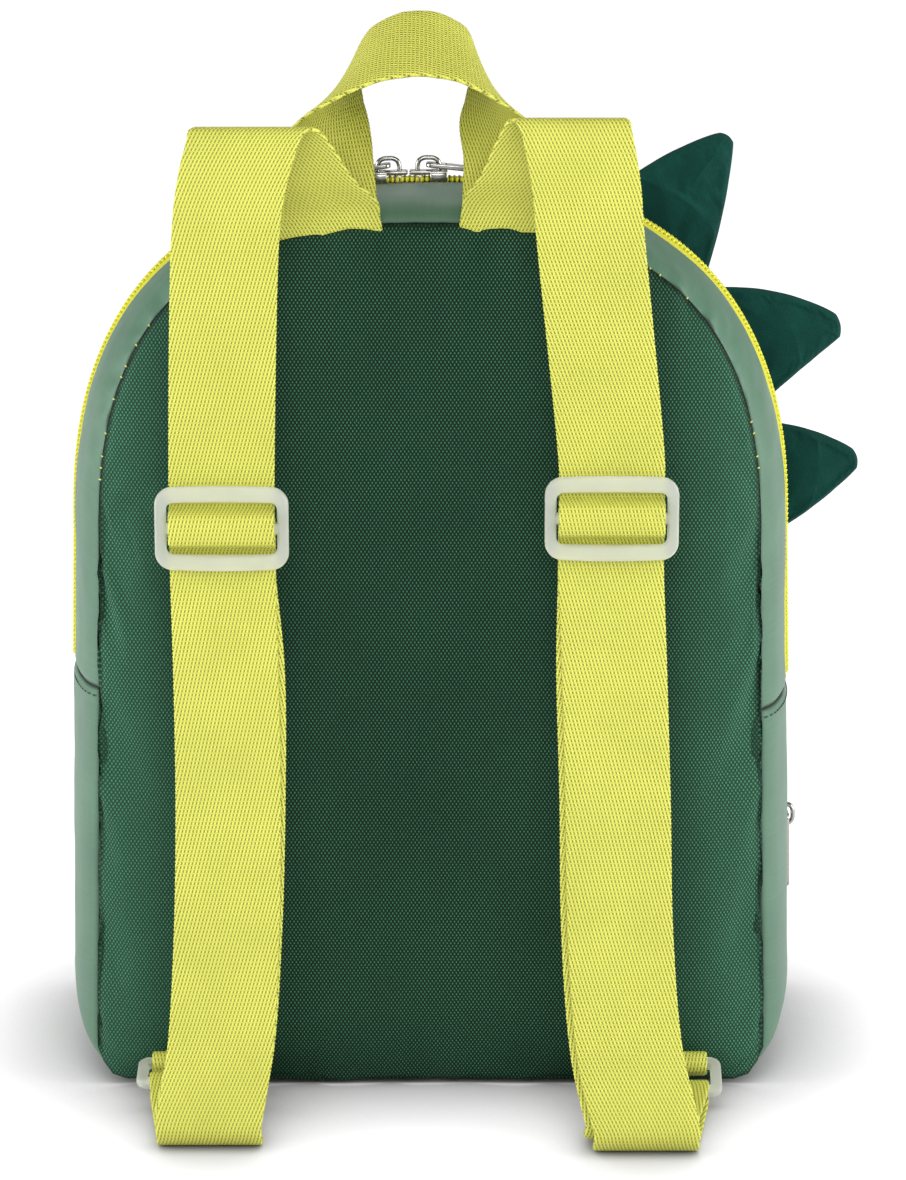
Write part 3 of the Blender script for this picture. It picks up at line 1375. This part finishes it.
def strap_slide(name, side):
    """Three bars in a rounded frame, the ends bowed a little."""
    width, height = ADJUSTER["width"], ADJUSTER["height"]
    outer = rounded_loop(width, height - 0.8, ADJUSTER["corner"], bow=0.6)
    inner = rounded_loop(width - 2 * ADJUSTER["side"], height - 2 * ADJUSTER["end"] - 0.4, 2.0, bow=0.25)
    mesh = moulded_frame(outer, inner, ADJUSTER["thick"], 1.0)
    middle_bar = (width - ADJUSTER["side"] * 1.4, ADJUSTER["mid"], ADJUSTER["thick"] * 0.9)
    add_bar(mesh, Matrix.Identity(4), middle_bar, 0.9, 3)
    for vertex in mesh.verts:
        vertex.co.z += 0.35 * MM * (1 - (vertex.co.x / MM / (width / 2)) ** 2)
    turn = Matrix.Rotation(math.pi / 2, 4, "X")
    place = Matrix.Translation(Vector((side["slide"], ADJUSTER_Y, side["slide_z"])) * MM)
    bmesh.ops.transform(mesh, verts=mesh.verts, matrix=place @ turn)
    plastic_piece(mesh, f"adjuster_{name}")


def strap_ring(name, side):
    """A rounded rectangular loop."""
    width, height, bar = RING["width"], RING["height"], RING["bar"]
    outer = rounded_loop(width, height, RING["corner"])
    inner = rounded_loop(width - 2 * bar, height - 2 * bar, 1.4)
    mesh = moulded_frame(outer, inner, RING["thick"], 1.1)
    low_y, low_z = ring_low(side)
    middle = Vector((side["ring"], (RING_PLACE[0] + low_y) / 2, (RING_PLACE[1] + low_z) / 2)) * MM
    turn = Matrix.Rotation(math.radians(side["ring_tilt"]), 4, "X")
    bmesh.ops.transform(mesh, verts=mesh.verts, matrix=Matrix.Translation(middle) @ turn)
    plastic_piece(mesh, f"ring_{name}")


# Zipper sliders, in their own frame: X towards the tail, Y across the zipper, Z off the bag

SLIDER = {"play": 0.5, "length": 11.6, "width": 8, "flange": 5.2, "top": 1.4, "bottom": 1.1, "post": (2.4, 1.6),
          "bridge_length": 8, "bridge_width": 2.4, "bridge_height": 4.4, "bridge_bar": 1.4}
PULL = {"length": 24, "width": 7, "thick": 1.4, "bar": 1.5, "eye": 4.6, "lift": 1.6, "droop": 6}
MAIN_SLIDERS = {"middle": -6.5, "pitch": 12}
POCKET_SLIDER_HEIGHT = 60
PLATE_TOP = SLIDER["play"] + SLIDER["top"]
TAPE_DEPTH = FABRIC + GAP + TAPE_THICK + COIL_PROUD


def slider_place(depth, zip_at, surface, place, tail):
    """The frame of a slider that lies on the coil, in millimetres. surface gives a point on the coil's top."""
    half_share = SLIDER["width"] / 2 / depth
    nose = surface(place - tail * SLIDER["length"] / 2, zip_at)
    end = surface(place + tail * SLIDER["length"] / 2, zip_at)
    along = (end - nose).normalized()
    forward = surface(place, zip_at + half_share) - surface(place, zip_at - half_share)
    off = along.cross(forward * math.copysign(1, along.x - along.z)).normalized()
    across = off.cross(along)
    return frame_of(along, across, off, (nose + end) / 2)


def slider_places():
    """The frames of the two sliders at the top and of the one on the pocket."""

    def on_main(x, at):
        zip_line = Section(MAIN, at, -COIL_PROUD)
        return Vector((x, zip_line.y, zip_line.top_height(x)))

    def on_pocket(z, at):
        zip_line = Section(POCKET, at, -COIL_PROUD)
        return Vector((zip_line.half_width(z), zip_line.y, z))

    middle, pitch = MAIN_SLIDERS["middle"], MAIN_SLIDERS["pitch"]
    depth = MAIN.sizes["depth"]
    return {
        "left": slider_place(depth, MAIN_ZIP_AT, on_main, middle - pitch / 2, -1),
        "right": slider_place(depth, MAIN_ZIP_AT, on_main, middle + pitch / 2, 1),
        "pocket": slider_place(POCKET.sizes["depth"], POCKET_ZIP_AT, on_pocket, POCKET_SLIDER_HEIGHT, -1),
    }


def in_metres(place):
    """A frame whose translation is in millimetres as one in metres."""
    found = place.copy()
    found.translation = place.translation * MM
    return found


def metal_piece(mesh, node, body="bag"):
    """Makes a cast mesh the piece that stands for a node."""
    look = material_once("bright_metal_looks", metal_material)
    return stands_for(finish_piece(mesh, node + "_cast", look, body), node, slot="bright_metal")


def slider(name, place):
    """The slider's body: a plate with a wide flanged end, a bottom plate, a post and a wire bridge."""
    length, width, flange = SLIDER["length"], SLIDER["width"], SLIDER["flange"]
    post_length, post_width = SLIDER["post"]
    tail = (length - flange) / 2
    top = SLIDER["play"] + SLIDER["top"] / 2
    low = -TAPE_DEPTH - SLIDER["play"] - SLIDER["bottom"] / 2
    lip = width / 2 - 0.45
    bars = [
        ((tail, 0, top), (flange, width, SLIDER["top"]), 0.5, 3),
        ((0.4 - flange / 2, 0, top), (length - flange + 0.8, width * 0.62, SLIDER["top"]), 0.5, 3),
        ((tail, -lip, top - 1.2), (flange, 0.9, 2.6), 0.3, 2),
        ((tail, lip, top - 1.2), (flange, 0.9, 2.6), 0.3, 2),
        ((0, 0, low), (length, width, SLIDER["bottom"]), 0.4, 2),
        ((-length / 4, 0, (low + top) / 2), (post_length, post_width, top - low), 0.3, 2),
    ]
    mesh = bmesh.new()
    for middle, size, rounding, segments in bars:
        add_bar(mesh, Matrix.Translation(Vector(middle) * MM), size, rounding, segments)
    add_bridge(mesh)
    bmesh.ops.transform(mesh, verts=mesh.verts, matrix=in_metres(place))
    metal_piece(mesh, f"slider_{name}")


def add_bridge(mesh):
    """The wire bridge over the slider, which holds the pull."""
    half = SLIDER["bridge_length"] / 2 - SLIDER["bridge_bar"] / 2
    high = PLATE_TOP + SLIDER["bridge_height"] - SLIDER["bridge_bar"] / 2
    rise = [(half, PLATE_TOP - 0.8), (half, PLATE_TOP + 1.2), (half - 0.5, high - 0.9), (half - 1.8, high - 0.1)]
    way = [(-x, z) for x, z in rise] + [(0, high)] + rise[::-1]
    points = np.array([(x, 0, z) for x, z in way], float)
    rows = np.tile([0.0, 1.0, 0.0], (len(points), 1))
    surface, uv = band_surface(points, rows, 0.3, SLIDER["bridge_width"] * 0.8, SLIDER["bridge_bar"], 16, 0, 1)
    join_into(mesh, closed_band(surface, uv))


def pull(name, place):
    """The pull: a flat tongue with an eye at the hinge."""
    end, length, width = -PULL["bar"] / 2, PULL["length"], PULL["width"]
    eye_middle = (PULL["bar"] + PULL["eye"]) / 2
    outer = rounded_loop(length - end, width, 1.8, centre_x=(end + length) / 2)
    inner = rounded_loop(PULL["eye"], SLIDER["bridge_width"] + 4 * GAP, 0.6, centre_x=eye_middle)
    mesh = moulded_frame(outer, inner, PULL["thick"], 0.45)
    hinge = Matrix.Translation(Vector((0, 0, PLATE_TOP + PULL["lift"])) * MM)
    droop = Matrix.Rotation(math.radians(0 if name == "pocket" else PULL["droop"]), 4, "Y")
    bmesh.ops.transform(mesh, verts=mesh.verts, matrix=in_metres(place) @ hinge @ droop)
    metal_piece(mesh, f"pull_{name}", f"{name}_pull")


# Stitches

def stitch_row(name, points, outs, size, look):
    """Short lengths of thread along a path. outs point off the cloth."""
    mesh = bmesh.new()
    ways = np.gradient(points, axis=0)
    for point, way, out in zip(points, ways, outs):
        along = Vector(way).normalized()
        off = Vector(out)
        off = (off - along * off.dot(along)).normalized()
        place = frame_of(along, off.cross(along), off, Vector(point) * MM)
        add_bar(mesh, place, size, min(size) * 0.4)
    return stands_for(finish_piece(mesh, name, look), slot="lime_webbing")


# Lime thread at the panel's upper corners: where it begins, its spacing and the size of a bit. Dark thread under
# the side seams: how far below them it runs and the size of a stitch
PANEL_THREAD = {"above": 176, "beyond": 52, "spacing": 3.4, "size": (0.5, 1.1, 0.4)}
JOIN_THREAD = {"below": 2.6, "count": 28, "size": (1.5, 0.42, 0.3)}


def panel_stitches():
    """Bits of lime thread that show in the seam at the upper corners of the back panel."""
    look = material_once("lime_thread", thread_material)
    section = Section(MAIN, 0)
    for name, sign in (("left", -1), ("right", 1)):
        half = above(section.half_outline(), PANEL_THREAD["above"])
        length = np.sum(np.linalg.norm(np.diff(half, axis=0), axis=1))
        path = respaced(half, int(length / PANEL_THREAD["spacing"]))
        kept = [noise.noise(Vector((place * 1.7, sign * 5.0, 3.0))) > 0.02 for place in range(len(path))]
        path = path[(path[:, 0] > PANEL_THREAD["beyond"]) & kept] * [sign, 1]
        points = placed(path, section.y - 0.6)
        rise = path[:, 1] - section.arch_start
        outs = np.column_stack([path[:, 0] * 0.6, np.full(len(path), -40.0), rise])
        stitch_row(f"seam_thread_{name}", points, outs, PANEL_THREAD["size"], look)


def join_stitches():
    """Rows of thread under the side seams."""
    look = material_once("dark_thread", dark_thread_material)
    for name, sign, join in (("left", -1, MAIN_JOIN[0]), ("right", 1, MAIN_JOIN[1])):
        points, outs = [], []
        height = join - JOIN_THREAD["below"]
        for at in np.linspace(0.03, 0.97, JOIN_THREAD["count"]):
            section = Section(MAIN, at)
            points.append((sign * (section.half_width(height) + 0.12), section.y, height))
            outs.append((sign, -0.3 if at < 0.4 else 0.1, 0))
        stitch_row(f"join_thread_{name}", np.array(points), outs, JOIN_THREAD["size"], look)


# Operators

class MakeSides(bpy.types.Operator):
    """Sews the smooth strips round the bag and its pocket"""

    bl_idname = "backpack.make_sides"
    bl_label = "Side strips"

    def execute(self, context):
        look = material_once("sage_cloth_looks", side_material)
        main_low = MAIN_ZIP_AT - ZIP_WINDOW / 2 / MAIN.sizes["depth"]
        main_high = MAIN_ZIP_AT + ZIP_WINDOW / 2 / MAIN.sizes["depth"]
        pocket_low = POCKET_ZIP_AT - ZIP_WINDOW / 2 / POCKET.sizes["depth"]
        pocket_high = POCKET_ZIP_AT + ZIP_WINDOW / 2 / POCKET.sizes["depth"]
        strips = [
            ("gusset_back", MAIN, upper_arc, MAIN_JOIN, (0, main_low), (True, False), 1.0),
            ("gusset_front", MAIN, upper_arc, MAIN_JOIN, (main_high, 1), (False, True), 2.0),
            ("gusset_base", MAIN, lower_arc, MAIN_JOIN, (0, 1), (True, True), 3.0),
            ("pocket_gusset_back", POCKET, upper_arc, POCKET_JOIN, (0, pocket_low), (True, False), 4.0),
            ("pocket_gusset_front", POCKET, upper_arc, POCKET_JOIN, (pocket_high, 1), (False, True), 5.0),
            ("pocket_gusset_base", POCKET, lower_arc, POCKET_JOIN, (0, 1), (True, True), 6.0),
        ]
        for node, shape, arc, join, shares, sewn, seed in strips:
            rows = 12 if shape is POCKET else 30
            ruffle = node == "gusset_back"
            piece = cloth_strip(node + "_cloth", shape, arc, join, shares, look, sewn, rows, seed, ruffle)
            stands_for(piece, node, slot="sage_cloth")
        return {"FINISHED"}


class MakeWebbing(bpy.types.Operator):
    """Lays the shoulder straps, the grab handle and the ring tabs"""

    bl_idname = "backpack.make_webbing"
    bl_label = "Webbing"

    def execute(self, context):
        for name, side in SIDES.items():
            level_band(f"strap_{name}_webbing", strap_path(side), f"strap_{name}", side["slant"])
            level_band(f"ring_tab_{name}_webbing", tab_path(side), f"ring_tab_{name}", side["slant"])
        points, widths = handle_path()
        webbing_piece("grab_handle_webbing", points, widths, "grab_handle")
        return {"FINISHED"}


class MakePanels(bpy.types.Operator):
    """Pads the back panel and lays the plain front walls"""

    bl_idname = "backpack.make_panels"
    bl_label = "Panels"

    def execute(self, context):
        back_pad()
        look = material_once("sage_cloth_looks", side_material)
        front_wall("front_panel", MAIN, look, FRONT_DOME, 21.0)
        front_wall("pocket_face", POCKET, look, POCKET_DOME, 22.0)
        return {"FINISHED"}


class MakeSpikes(bpy.types.Operator):
    """Stuffs the spikes that stand in the front seam"""

    bl_idname = "backpack.make_spikes"
    bl_label = "Spikes"

    def execute(self, context):
        for name, spike in SPIKES.items():
            stuffed_spike(name, spike)
        return {"FINISHED"}


class MakeZippers(bpy.types.Operator):
    """Lays the zippers' tapes and coils"""

    bl_idname = "backpack.make_zippers"
    bl_label = "Zippers"

    def execute(self, context):
        zipper("zipper_main", MAIN, MAIN_JOIN, MAIN_ZIP_AT, MAIN_TAPE)
        zipper("zipper_pocket", POCKET, POCKET_JOIN, POCKET_ZIP_AT, POCKET_TAPE)
        return {"FINISHED"}


class MakeSliders(bpy.types.Operator):
    """Makes the zipper sliders and their pulls"""

    bl_idname = "backpack.make_sliders"
    bl_label = "Sliders and pulls"

    def execute(self, context):
        for name, place in slider_places().items():
            slider(name, place)
            pull(name, place)
        return {"FINISHED"}


class MakePlastic(bpy.types.Operator):
    """Moulds the strap slides and the rings"""

    bl_idname = "backpack.make_plastic"
    bl_label = "Slides and rings"

    def execute(self, context):
        for name, side in SIDES.items():
            strap_slide(name, side)
            strap_ring(name, side)
        return {"FINISHED"}


class MakeStitches(bpy.types.Operator):
    """Sews the stitches that show"""

    bl_idname = "backpack.make_stitches"
    bl_label = "Stitches"

    def execute(self, context):
        panel_stitches()
        join_stitches()
        return {"FINISHED"}


class MakeStage(bpy.types.Operator):
    """Sets up the floor, the lights and the camera"""

    bl_idname = "backpack.make_stage"
    bl_label = "Studio"

    def execute(self, context):
        settings = context.scene.backpack_stage
        make_floor()
        make_camera(settings)
        make_lights(settings)
        return {"FINISHED"}


# Studio

CAMERA_PLACE = (6.9, -1245.0, 450.0)
SENSOR_WIDTH = 36

# Half the floor's width and how far the camera sees, in metres
FLOOR_REACH = 40.0
VIEW_REACH = 80

# Lights: place and size in metres, and power as a share of the side light's
LIGHT_TARGET = (0, 0, 0.14)
LIGHTS = {
    "left_light": ((-1.35, -0.32, 0.36), (0.8, 1.0), 1.1),
    "right_light": ((1.35, -0.36, 0.42), (0.8, 1.0), 1.15),
    "front_light": ((0.0, -1.6, 0.95), (1.2, 0.7), 0.8),
    "far_light": ((0.0, 1.6, 0.9), (1.2, 0.7), 0.25),
    "top_light": ((0.0, -0.7, 1.5), (1.0, 0.8), 0.4),
}


def make_floor():
    mesh = bmesh.new()
    bmesh.ops.create_grid(mesh, x_segments=8, y_segments=8, size=FLOOR_REACH)
    data = bpy.data.meshes.new("floor")
    mesh.to_mesh(data)
    mesh.free()
    floor = bpy.data.objects.new("floor", data)
    bpy.context.scene.collection.objects.link(floor)
    data.materials.append(material_once("pale_paper", floor_material))


def make_camera(settings):
    camera = bpy.data.cameras.new("camera")
    camera.lens = settings.lens
    camera.sensor_width = SENSOR_WIDTH
    camera.clip_end = VIEW_REACH
    holder = bpy.data.objects.new("camera", camera)
    bpy.context.scene.collection.objects.link(holder)
    holder.location = [value * MM for value in CAMERA_PLACE]
    holder.rotation_euler = (math.pi / 2 - settings.pitch, 0, 0)
    bpy.context.scene.camera = holder


def area_light(name, place, size, power):
    light = bpy.data.lights.new(name, "AREA")
    light.shape = "RECTANGLE"
    light.size, light.size_y = size
    light.energy = power
    holder = bpy.data.objects.new(name, light)
    bpy.context.scene.collection.objects.link(holder)
    holder.location = place
    holder.rotation_euler = (Vector(LIGHT_TARGET) - Vector(place)).to_track_quat("-Z", "Y").to_euler()


def make_lights(settings):
    for name, (place, size, share) in LIGHTS.items():
        area_light(name, place, size, settings.side_light * share)
    world = bpy.data.worlds.new("studio")
    world.use_nodes = True
    background = world.node_tree.nodes["Background"]
    background.inputs["Color"].default_value = (1, 1, 1, 1)
    background.inputs["Strength"].default_value = settings.room_light
    bpy.context.scene.world = world
    bpy.context.scene.view_settings.view_transform = "Standard"


OPERATORS = [MakeStage, MakeSides, MakePanels, MakeSpikes, MakeZippers, MakeWebbing, MakePlastic,
             MakeSliders, MakeStitches]


class BackpackPanel(bpy.types.Panel):
    """Lists the steps that make the backpack"""

    bl_idname = "VIEW3D_PT_backpack"
    bl_label = "Backpack"
    bl_space_type = "VIEW_3D"
    bl_region_type = "UI"
    bl_category = "Backpack"

    def draw(self, context):
        for operator in OPERATORS:
            self.layout.operator(operator.bl_idname)
        for name, group in SETTINGS.items():
            box = self.layout.box()
            for field in group.__annotations__:
                box.prop(getattr(context.scene, name), field)


CLASSES = [*SETTINGS.values(), *OPERATORS, BackpackPanel]


def register():
    for kind in CLASSES:
        bpy.utils.register_class(kind)
    for name, group in SETTINGS.items():
        setattr(bpy.types.Scene, name, PointerProperty(type=group))


def unregister():
    for name in SETTINGS:
        delattr(bpy.types.Scene, name)
    for kind in reversed(CLASSES):
        bpy.utils.unregister_class(kind)


def main():
    register()
    for operator in OPERATORS:
        category, name = operator.bl_idname.split(".")
        getattr(getattr(bpy.ops, category), name)()


if __name__ == "__main__":
    main()
